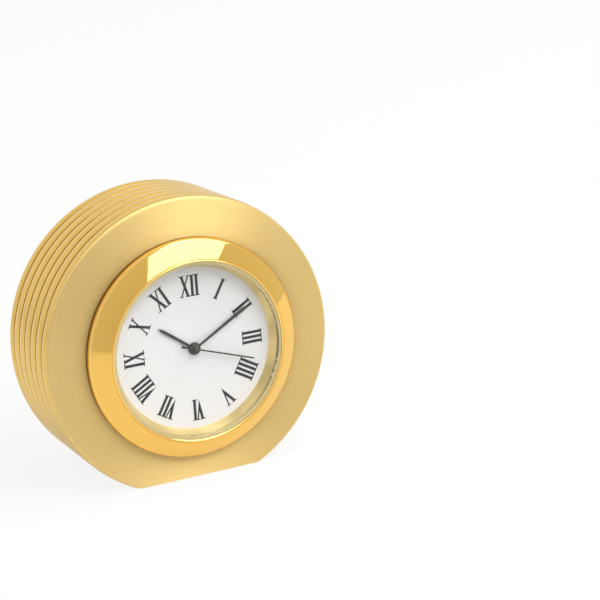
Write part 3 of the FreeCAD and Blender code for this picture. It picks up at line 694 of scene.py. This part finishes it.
def use(tree, group, **values):
    """Places a group in a tree; names of its inputs are given with _ for a space."""
    made = tree.nodes.new("ShaderNodeGroup")
    made.node_tree = group
    for name, value in values.items():
        socket = made.inputs[name.replace("_", " ")]
        if isinstance(value, bpy.types.NodeSocket):
            tree.links.new(value, socket)
        else:
            socket.default_value = value
    return made


# ---- shader groups ----
least_radius = 0.001


def build_clock_axes():
    """Where a point lies on the clock, in millimetres from its axis and front face."""
    gives = ("Radius", "Height", "Turn X", "Turn Y")
    tree, _, outlet = new_group("clock_axes", {}, gives)
    place = add(tree, "TexCoord").outputs["Object"]
    inputs = {
        "Vector": place, "Location": clock_origin, "Rotation": Euler((lean_turn, 0, 0)),
        "Scale": (mm, mm, mm)}
    local = add(tree, "Mapping", inputs, vector_type="TEXTURE").outputs[0]
    parts = add(tree, "SeparateXYZ", {0: local})
    squares = [calc(tree, "MULTIPLY", parts.outputs[i], parts.outputs[i]) for i in (0, 1)]
    radius = calc(tree, "SQRT", calc(tree, "ADD", *squares))
    safe = calc(tree, "MAXIMUM", radius, least_radius)
    tree.links.new(radius, outlet.inputs["Radius"])
    tree.links.new(parts.outputs[2], outlet.inputs["Height"])
    tree.links.new(calc(tree, "DIVIDE", parts.outputs[0], safe), outlet.inputs["Turn X"])
    tree.links.new(calc(tree, "DIVIDE", parts.outputs[1], safe), outlet.inputs["Turn Y"])
    return tree


def build_turning_marks(axes_group):
    """Fine rings left by turning and brushing on a lathe, broken along their length."""
    takes = {"Lines Per Mm": 8.0, "Breaks": 6.0, "Seed": 0.0}
    tree, inlet, outlet = new_group("turning_marks", takes, ("Marks", "Streaks"))
    axes = use(tree, axes_group)
    path = calc(tree, "SUBTRACT", axes.outputs["Radius"], axes.outputs["Height"])
    path = calc(tree, "ADD", path, inlet.outputs["Seed"])
    fine = calc(tree, "MULTIPLY", path, inlet.outputs["Lines Per Mm"])
    round_x = calc(tree, "MULTIPLY", axes.outputs["Turn X"], inlet.outputs["Breaks"])
    round_y = calc(tree, "MULTIPLY", axes.outputs["Turn Y"], inlet.outputs["Breaks"])
    fine_place = add(tree, "CombineXYZ", {0: fine, 1: round_x, 2: round_y}).outputs[0]
    marks = noise(tree, fine_place, 1.0, 3.0, 0.6)
    wide = calc(tree, "MULTIPLY", fine, 0.22)
    wide_place = add(tree, "CombineXYZ", {0: wide, 1: round_x, 2: round_y}).outputs[0]
    streaks = noise(tree, wide_place, 1.0, 2.0, 0.5)
    tree.links.new(remap(tree, marks, 0.25, 0.75), outlet.inputs["Marks"])
    tree.links.new(remap(tree, streaks, 0.3, 0.7), outlet.inputs["Streaks"])
    return tree


def build_fine_grain():
    """An even grain of a given size in millimetres, such as blasting or moulding leaves."""
    tree, inlet, outlet = new_group("fine_grain", {"Size Mm": 0.15}, ("Grain", "Cloud"))
    place = add(tree, "TexCoord").outputs["Object"]
    scale = calc(tree, "DIVIDE", 1 / mm, inlet.outputs["Size Mm"])
    grain = noise(tree, place, scale, 2.0, 0.6)
    cloud = noise(tree, place, calc(tree, "MULTIPLY", scale, 0.12), 2.0, 0.5)
    tree.links.new(remap(tree, grain, 0.25, 0.75), outlet.inputs["Grain"])
    tree.links.new(remap(tree, cloud, 0.3, 0.7), outlet.inputs["Cloud"])
    return tree


def build_drawn_lines():
    """Straight fine lines along X, as rolling, drawing or milling leaves."""
    takes = {"Lines Per Mm": 10.0, "Length Mm": 6.0}
    tree, inlet, outlet = new_group("drawn_lines", takes, ("Lines",))
    place = add(tree, "TexCoord").outputs["Object"]
    parts = add(tree, "SeparateXYZ", {0: place})
    along = calc(tree, "DIVIDE", parts.outputs[0], inlet.outputs["Length Mm"])
    along = calc(tree, "MULTIPLY", along, 1 / mm)
    fine = calc(tree, "MULTIPLY", inlet.outputs["Lines Per Mm"], 1 / mm)
    across = calc(tree, "MULTIPLY", parts.outputs[1], fine)
    down = calc(tree, "MULTIPLY", parts.outputs[2], fine)
    line_place = add(tree, "CombineXYZ", {0: along, 1: across, 2: down}).outputs[0]
    lines = noise(tree, line_place, 1.0, 3.0, 0.6)
    tree.links.new(remap(tree, lines, 0.25, 0.75), outlet.inputs["Lines"])
    return tree


def build_handling():
    """Soft smudges and a slight change of tone over centimetres."""
    tree, inlet, outlet = new_group("handling", {"Size Mm": 9.0}, ("Smudge", "Tone"))
    place = add(tree, "TexCoord").outputs["Object"]
    scale = calc(tree, "DIVIDE", 1 / mm, inlet.outputs["Size Mm"])
    smudge = noise(tree, place, scale, 4.0, 0.62)
    tone = noise(tree, place, calc(tree, "MULTIPLY", scale, 0.4), 1.0, 0.5)
    tree.links.new(remap(tree, smudge, 0.42, 0.72), outlet.inputs["Smudge"])
    tree.links.new(remap(tree, tone, 0.3, 0.7), outlet.inputs["Tone"])
    return tree


axes_group = build_clock_axes()
turning_group = build_turning_marks(axes_group)
grain_group = build_fine_grain()
lines_group = build_drawn_lines()
handling_group = build_handling()


# ---- materials ----
# millimetres from the edge that a finish, painted shade or painted highlight follows to where it begins and is
# full
groove_shade_inset = 0.02
groove_shade_fade = 0.12
lip_fade = 0.04
rubbed_edge_highlight = (0.55, 0.2)
wall_fade = (0.4, 0.2)
crevice_shade_fade = (0.25, -0.1)
relief_fade = (0.015, 0.045)
crystal_side_fade = (0.03, 0.01)


def new_material(name, **settings):
    """A Principled material; settings name its inputs with _ for a space."""
    material = bpy.data.materials.new(name)
    material.use_nodes = True
    tree = material.node_tree
    shader = tree.nodes["Principled BSDF"]
    for setting, value in settings.items():
        shader.inputs[setting.replace("_", " ")].default_value = value
    return material, tree, shader


def feed(tree, shader, **sockets):
    for name, socket in sockets.items():
        tree.links.new(socket, shader.inputs[name.replace("_", " ")])


def bump(tree, height, depth_mm):
    inputs = {"Height": height, "Distance": depth_mm * mm, "Strength": 1.0}
    return add(tree, "Bump", inputs).outputs[0]


def lathe_tangent(tree):
    """Direction of turning marks: round the clock's axis."""
    place = add(tree, "TexCoord").outputs["Object"]
    inputs = {0: place, 1: clock_origin}
    arm = add(tree, "VectorMath", inputs, operation="SUBTRACT").outputs[0]
    return add(tree, "VectorMath", {0: dial_out, 1: arm}, operation="CROSS_PRODUCT").outputs[0]


def case_brass():
    """Satin turned faces with a slightly spiral brushing, polished ridges and grooves darkened with painted shade.
    """
    material, tree, shader = new_material(
        "case_brass", Metallic=1.0, Anisotropic=0.82, Anisotropic_Rotation=0.285)
    axes = use(tree, axes_group)
    height = axes.outputs["Height"]
    brushed_edge = edge_break / mm
    front = calc(tree, "GREATER_THAN", height, -brushed_edge)
    back = calc(tree, "LESS_THAN", height, brushed_edge - case_depth / mm)
    face = calc(tree, "MAXIMUM", front, back)
    side = calc(tree, "SUBTRACT", 1.0, face)
    marks = use(tree, turning_group, Lines_Per_Mm=9.0, Breaks=5.0)
    wear = use(tree, handling_group, Size_Mm=11.0)
    satin = remap(tree, marks.outputs["Streaks"], 0.0, 1.0, 0.64, 0.72)
    satin = calc(tree, "MULTIPLY", satin, face)
    polish = remap(tree, wear.outputs["Smudge"], 0.0, 1.0, 0.13, 0.19)
    polish = calc(tree, "MULTIPLY", polish, side)
    roughness = calc(tree, "ADD", satin, polish)
    pale = (1.0, 0.81, 0.39, 1.0)
    deep = (0.99, 0.75, 0.31, 1.0)
    ridge = (0.80, 0.54, 0.15, 1.0)
    brushed = blended(tree, marks.outputs["Streaks"], deep, pale)
    colour = blended(tree, face, ridge, brushed)
    # painted shade: the grooves between the ridges are darkened to a deep brown
    groove_mouth = (case_radius - ridge_crown) / mm - groove_shade_inset
    groove = remap(tree, axes.outputs["Radius"], groove_mouth, groove_mouth - groove_shade_fade)
    groove = calc(tree, "MULTIPLY", groove, side)
    colour = blended(tree, groove, colour, (0.40, 0.23, 0.06, 1.0))
    tarnish = calc(tree, "MULTIPLY", wear.outputs["Tone"], 0.08)
    colour = blended(tree, tarnish, colour, (0.58, 0.36, 0.11, 1.0))
    cut = calc(tree, "ADD", 0.25, calc(tree, "MULTIPLY", face, 0.75))
    normal = bump(tree, calc(tree, "MULTIPLY", marks.outputs["Marks"], cut), 0.004)
    feed(tree, shader, Base_Color=colour, Roughness=roughness, Normal=normal)
    tree.links.new(lathe_tangent(tree), shader.inputs["Tangent"])
    return material


def bezel_brass():
    """Mirror polish with a softer lip, a paler outer edge that carries a painted highlight, and painted shade low
    on the wall.
    """
    material, tree, shader = new_material(
        "bezel_brass", Metallic=1.0, Coat_Weight=0.1, Coat_Roughness=0.02)
    wear = use(tree, handling_group, Size_Mm=7.0)
    marks = use(tree, turning_group, Lines_Per_Mm=5.0, Breaks=2.0, Seed=7.0)
    colour = blended(
        tree, wear.outputs["Tone"], (0.91, 0.567, 0.13, 1.0), (0.89, 0.545, 0.12, 1.0))
    axes = use(tree, axes_group)
    radius, height = axes.outputs["Radius"], axes.outputs["Height"]
    lip_edge = (rim_radius + lip_width) / mm
    lip = remap(tree, radius, lip_edge + lip_fade, lip_edge - lip_fade)
    colour = blended(tree, lip, colour, (0.93, 0.64, 0.22, 1.0))
    # paler outer edge: rubbed brass plus a painted highlight along the rounded edge
    outer = bezel_radius / mm
    edge = remap(tree, radius, outer - rubbed_edge_highlight[0], outer - rubbed_edge_highlight[1])
    colour = blended(tree, edge, colour, (0.93, 0.62, 0.20, 1.0))
    # painted shade: the low wall is darkened to near black-brown where it meets the case face
    wall = remap(tree, radius, outer - wall_fade[0], outer - wall_fade[1])
    wall_top = bezel_edge / mm
    crevice_shade = remap(tree, height, wall_top + crevice_shade_fade[0], wall_top + crevice_shade_fade[1])
    crevice_shade = calc(tree, "MULTIPLY", crevice_shade, wall)
    colour = blended(tree, crevice_shade, colour, (0.26, 0.14, 0.03, 1.0))
    polish = remap(tree, wear.outputs["Smudge"], 0.0, 1.0, 0.03, 0.055)
    roughness = calc(tree, "ADD", polish, calc(tree, "MULTIPLY", lip, 0.09))
    normal = bump(tree, marks.outputs["Marks"], 0.0004)
    feed(tree, shader, Base_Color=colour, Roughness=roughness, Normal=normal)
    return material


def flange_brass():
    """Fine turned satin, paler than the bezel."""
    material, tree, shader = new_material(
        "flange_brass", Metallic=1.0, Coat_Weight=0.05, Coat_Roughness=0.05)
    marks = use(tree, turning_group, Lines_Per_Mm=12.0, Breaks=2.0, Seed=3.0)
    colour = blended(
        tree, marks.outputs["Streaks"], (0.87, 0.69, 0.31, 1.0), (0.90, 0.73, 0.35, 1.0))
    roughness = remap(tree, marks.outputs["Streaks"], 0.0, 1.0, 0.30, 0.36)
    normal = bump(tree, marks.outputs["Marks"], 0.0003)
    feed(tree, shader, Base_Color=colour, Roughness=roughness, Normal=normal)
    return material


def medallion_brass():
    """A blasted ground round polished relief."""
    material, tree, shader = new_material("medallion_brass", Metallic=1.0)
    axes = use(tree, axes_group)
    ground = (medallion_low.z + ground_depth) / mm
    relief = remap(
        tree, axes.outputs["Height"], ground - relief_fade[0], ground - relief_fade[1])
    blasted = use(tree, grain_group, Size_Mm=0.11)
    wear = use(tree, handling_group, Size_Mm=8.0)
    matt = calc(tree, "SUBTRACT", 1.0, relief)
    ground_colour = blended(
        tree, blasted.outputs["Grain"], (0.56, 0.42, 0.17, 1.0), (0.82, 0.66, 0.33, 1.0))
    colour = blended(tree, relief, ground_colour, (0.86, 0.58, 0.20, 1.0))
    polish = remap(tree, wear.outputs["Smudge"], 0.0, 1.0, 0.10, 0.16)
    roughness = calc(
        tree, "ADD", calc(tree, "MULTIPLY", relief, polish), calc(tree, "MULTIPLY", matt, 0.42))
    height = calc(tree, "MULTIPLY", blasted.outputs["Grain"], matt)
    normal = bump(tree, height, 0.02)
    feed(tree, shader, Base_Color=colour, Roughness=roughness, Normal=normal)
    return material


def crystal_glass():
    """Flat mineral glass with an olive side, which lets the lamps through to the dial."""
    material, tree, shader = new_material(
        "crystal_glass", Transmission_Weight=1.0, IOR=1.22, Metallic=0.0)
    wear = use(tree, handling_group, Size_Mm=10.0)
    tint = blended(
        tree, wear.outputs["Tone"], (0.985, 0.995, 0.99, 1.0), (0.995, 1.0, 0.998, 1.0))
    radius = use(tree, axes_group).outputs["Radius"]
    outer = crystal_high.x / mm
    side = remap(tree, radius, outer - crystal_side_fade[0], outer - crystal_side_fade[1])
    tint = blended(tree, side, tint, (0.62, 0.55, 0.27, 1.0))
    roughness = remap(tree, wear.outputs["Smudge"], 0.0, 1.0, 0.0, 0.012)
    feed(tree, shader, Base_Color=tint, Roughness=roughness)
    clear = add(tree, "BsdfTransparent")
    path = add(tree, "LightPath")
    mixed = add(tree, "MixShader", {
        0: path.outputs["Is Shadow Ray"], 1: shader.outputs[0], 2: clear.outputs[0]})
    outlet = next(n for n in tree.nodes if n.type == "OUTPUT_MATERIAL")
    tree.links.new(mixed.outputs[0], outlet.inputs["Surface"])
    return material


def dial_white():
    """Smooth white enamel with the faintest stipple."""
    material, tree, shader = new_material("dial_white", Specular_IOR_Level=0.4)
    stipple = use(tree, grain_group, Size_Mm=0.25)
    wear = use(tree, handling_group, Size_Mm=12.0)
    colour = blended(
        tree, wear.outputs["Tone"], (0.755, 0.735, 0.735, 1.0), (0.785, 0.765, 0.765, 1.0))
    roughness = remap(tree, stipple.outputs["Cloud"], 0.0, 1.0, 0.34, 0.42)
    normal = bump(tree, stipple.outputs["Grain"], 0.0015)
    feed(tree, shader, Base_Color=colour, Roughness=roughness, Normal=normal)
    return material


def printed(name, dark, light, shine):
    """An inked or lacquered dark surface."""
    material, tree, shader = new_material(name)
    grain = use(tree, grain_group, Size_Mm=0.2)
    colour = blended(tree, grain.outputs["Cloud"], (*dark, 1.0), (*light, 1.0))
    roughness = remap(tree, grain.outputs["Cloud"], 0.0, 1.0, shine, shine + 0.08)
    normal = bump(tree, grain.outputs["Grain"], 0.001)
    feed(tree, shader, Base_Color=colour, Roughness=roughness, Normal=normal)
    return material


def moulded(name, dark, light, shine, size_mm=0.3, depth_mm=0.006):
    """Moulded plastic or rubber with a fine tool grain."""
    material, tree, shader = new_material(name)
    grain = use(tree, grain_group, Size_Mm=size_mm)
    wear = use(tree, handling_group, Size_Mm=6.0)
    colour = blended(tree, wear.outputs["Tone"], (*dark, 1.0), (*light, 1.0))
    roughness = remap(tree, wear.outputs["Smudge"], 0.0, 1.0, shine, shine + 0.12)
    normal = bump(tree, grain.outputs["Grain"], depth_mm)
    feed(tree, shader, Base_Color=colour, Roughness=roughness, Normal=normal)
    return material


def worked_metal(name, dark, light, shine, lines_per_mm=10.0):
    """Rolled, drawn or turned metal with fine straight lines."""
    material, tree, shader = new_material(name, Metallic=1.0)
    drawn = use(tree, lines_group, Lines_Per_Mm=lines_per_mm)
    wear = use(tree, handling_group, Size_Mm=4.0)
    colour = blended(tree, drawn.outputs["Lines"], (*dark, 1.0), (*light, 1.0))
    roughness = remap(tree, wear.outputs["Smudge"], 0.0, 1.0, shine, shine + 0.10)
    normal = bump(tree, drawn.outputs["Lines"], 0.002)
    feed(tree, shader, Base_Color=colour, Roughness=roughness, Normal=normal)
    return material


def winding_copper():
    """Enamelled wire wound side by side along the coil."""
    material, tree, shader = new_material("winding_copper", Metallic=1.0, Coat_Weight=0.5)
    place = add(tree, "TexCoord").outputs["Object"]
    inputs = {"Vector": place, "Scale": 2.2 / mm, "Distortion": 0.3, "Detail": 1.0}
    wire = add(tree, "TexWave", inputs, wave_type="BANDS", bands_direction="X").outputs["Fac"]
    colour = blended(tree, wire, (0.42, 0.13, 0.05, 1.0), (0.80, 0.36, 0.16, 1.0))
    roughness = remap(tree, wire, 0.0, 1.0, 0.35, 0.2)
    normal = bump(tree, wire, 0.04)
    feed(tree, shader, Base_Color=colour, Roughness=roughness, Normal=normal)
    return material


def board_green():
    """Solder mask over tracks that show as a lighter green."""
    material, tree, shader = new_material("board_green", Coat_Weight=0.3)
    place = add(tree, "TexCoord").outputs["Object"]
    inputs = {
        "Vector": place, "Scale": 0.5 / mm, "Mortar Size": 0.035, "Brick Width": 1.6,
        "Row Height": 0.45}
    tracks = add(tree, "TexBrick", inputs).outputs["Fac"]
    colour = blended(tree, tracks, (0.012, 0.085, 0.035, 1.0), (0.04, 0.20, 0.08, 1.0))
    roughness = remap(tree, tracks, 0.0, 1.0, 0.35, 0.28)
    normal = bump(tree, tracks, 0.02)
    feed(tree, shader, Base_Color=colour, Roughness=roughness, Normal=normal)
    return material


brass = case_brass()
polished_brass = bezel_brass()
surround_brass = flange_brass()
struck_brass = medallion_brass()
glass = crystal_glass()
enamel = dial_white()
ink = printed("numeral_ink", (0.010, 0.010, 0.011), (0.018, 0.018, 0.019), 0.40)
hand_lacquer = printed("hand_lacquer", (0.030, 0.029, 0.024), (0.046, 0.043, 0.036), 0.22)
seal_nylon = moulded("gasket_nylon", (0.62, 0.52, 0.25), (0.70, 0.60, 0.32), 0.30)

node_materials = {
    "adhesive_pad": moulded("adhesive_pad", (0.60, 0.60, 0.55), (0.72, 0.72, 0.68), 0.75, 0.2, 0.03),
    "cup_plastic": moulded("cup_plastic", (0.016, 0.016, 0.018), (0.026, 0.026, 0.028), 0.42),
    "frame_plastic": moulded("frame_plastic", (0.58, 0.58, 0.56), (0.68, 0.68, 0.66), 0.45),
    "grip_rubber": moulded("grip_rubber", (0.50, 0.50, 0.47), (0.60, 0.60, 0.57), 0.55),
    "wheel_brass": worked_metal("wheel_brass", (0.70, 0.48, 0.18), (0.84, 0.62, 0.27), 0.22),
    "arbor_steel": worked_metal("arbor_steel", (0.50, 0.50, 0.51), (0.66, 0.66, 0.67), 0.18),
    "screw_steel": worked_metal("screw_steel", (0.56, 0.56, 0.57), (0.70, 0.70, 0.71), 0.22),
    "magnet": worked_metal("magnet", (0.10, 0.10, 0.11), (0.17, 0.17, 0.18), 0.45, 3.0),
    "motor_iron": worked_metal("motor_iron", (0.40, 0.40, 0.41), (0.55, 0.55, 0.55), 0.35),
    "winding_copper": winding_copper(),
    "board_green": board_green(),
    "chip_black": moulded("chip_black", (0.012, 0.012, 0.012), (0.022, 0.022, 0.022), 0.3),
    "can_steel": worked_metal("can_steel", (0.58, 0.58, 0.60), (0.74, 0.74, 0.76), 0.2),
    "cell_steel": worked_metal("cell_steel", (0.60, 0.60, 0.61), (0.76, 0.76, 0.77), 0.18),
    "contact_steel": worked_metal("contact_steel", (0.56, 0.54, 0.48), (0.72, 0.70, 0.62), 0.25),
}


def dress_remaining_nodes():
    """Gives every CAD node that stays visible its finish, by the record's slot names."""
    for part in frame["record"]["subparts"]:
        finish = node_materials.get(part["material_slot"])
        if finish is None:
            continue
        for material_slot in frame["nodes"][part["node"]].material_slots:
            material_slot.material = finish


# ---- floor, lights and camera ----
floor_size = 12.0
floor_drop = 0.005 * mm
card_white = (0.93, 0.93, 0.93, 1.0)
white_share = 0.86
mirrored_share = 0.55
world_light = 0.42
world_front = 0.66
world_behind = 1.0


def seen_directly(tree):
    """1 for what the camera sees, straight or in metal and glass, 0 for light on the object."""
    path = add(tree, "LightPath")
    seen = calc(
        tree, "ADD", path.outputs["Is Camera Ray"], path.outputs["Is Glossy Ray"], clamp=True)
    return calc(tree, "ADD", seen, path.outputs["Is Transmission Ray"], clamp=True)


def floor_pale():
    """Matt white card, lifted towards plain white where it is seen, straight or mirrored."""
    material, tree, shader = new_material("floor_pale", Specular_IOR_Level=0.0, Roughness=0.9)
    shader.inputs["Base Color"].default_value = card_white
    white = add(tree, "Emission", {"Color": (1.0, 1.0, 1.0, 1.0), "Strength": 1.0})
    path = add(tree, "LightPath")
    seen = calc(tree, "MULTIPLY", path.outputs["Is Camera Ray"], white_share)
    mirrored = calc(tree, "MULTIPLY", path.outputs["Is Glossy Ray"], mirrored_share)
    share = calc(tree, "ADD", seen, mirrored)
    mixed = add(tree, "MixShader", {0: share, 1: shader.outputs[0], 2: white.outputs[0]})
    outlet = next(n for n in tree.nodes if n.type == "OUTPUT_MATERIAL")
    tree.links.new(mixed.outputs[0], outlet.inputs["Surface"])
    return material


def make_floor():
    bm = bmesh.new()
    bmesh.ops.create_grid(bm, x_segments=1, y_segments=1, size=floor_size / 2)
    bmesh.ops.translate(bm, verts=bm.verts, vec=(0, 0, -floor_drop))
    mesh = bpy.data.meshes.new("floor")
    bm.to_mesh(mesh)
    bm.free()
    mesh.materials.append(floor_pale())
    floor = bpy.data.objects.new("floor", mesh)
    bpy.context.scene.collection.objects.link(floor)


def make_world():
    """Even light from all round; where it is seen or mirrored, it is brighter behind the clock."""
    world = bpy.data.worlds.new("studio")
    world.use_nodes = True
    tree = world.node_tree
    background = tree.nodes["Background"]
    background.inputs["Color"].default_value = (1.0, 1.0, 1.0, 1.0)
    direction = add(tree, "TexCoord").outputs["Generated"]
    depth = add(tree, "SeparateXYZ", {0: direction}).outputs[1]
    wall = remap(tree, depth, -1.0, 1.0, world_front, world_behind)
    seen = calc(tree, "MULTIPLY", seen_directly(tree), calc(tree, "SUBTRACT", wall, world_light))
    tree.links.new(calc(tree, "ADD", seen, world_light), background.inputs["Strength"])
    bpy.context.scene.world = world


softbox_place = Vector((0.432, -0.495, 0.925))
softbox_turn = -18.4
softbox_size = (0.974, 1.35)
softbox_power = 14.0


def make_softbox():
    """One large soft lamp lying level over the clock, a little before it and to its right."""
    lamp = bpy.data.lights.new("softbox", "AREA")
    lamp.shape = "RECTANGLE"
    lamp.size, lamp.size_y = softbox_size
    lamp.energy = softbox_power
    holder = bpy.data.objects.new("softbox", lamp)
    turn = Matrix.Rotation(math.radians(softbox_turn), 4, "Z")
    holder.matrix_world = Matrix.Translation(softbox_place) @ turn
    bpy.context.scene.collection.objects.link(holder)


camera_aim = Vector((19.74, -13.54, 32.95)) * mm
camera_distance = 0.3524
camera_azimuth = -27.19
camera_elevation = 20.75
camera_roll = -0.52
camera_lens = 113.4


def make_camera():
    camera = bpy.data.cameras.new("camera")
    camera.sensor_width = 36.0
    camera.lens = camera_lens
    camera.clip_start = 0.01
    holder = bpy.data.objects.new("camera", camera)
    turn = Matrix.Rotation(math.radians(camera_azimuth), 4, "Z")
    tilt = Matrix.Rotation(math.radians(90 - camera_elevation), 4, "X")
    roll = Matrix.Rotation(math.radians(camera_roll), 4, "Z")
    step_back = Matrix.Translation((0, 0, camera_distance))
    holder.matrix_world = Matrix.Translation(camera_aim) @ turn @ tilt @ roll @ step_back
    bpy.context.scene.collection.objects.link(holder)
    bpy.context.scene.camera = holder


# ---- build ----
make_case_body(brass)
make_medallion(struck_brass)
make_bezel(polished_brass)
make_crystal(glass)
make_gasket(seal_nylon)
make_flange(surround_brass)
make_dial(enamel)
make_numerals(ink)
make_hands(hand_lacquer)
make_hub_cap(hand_lacquer)
dress_remaining_nodes()

make_floor()
make_world()
make_softbox()
make_camera()
bpy.context.scene.view_settings.view_transform = "Standard"
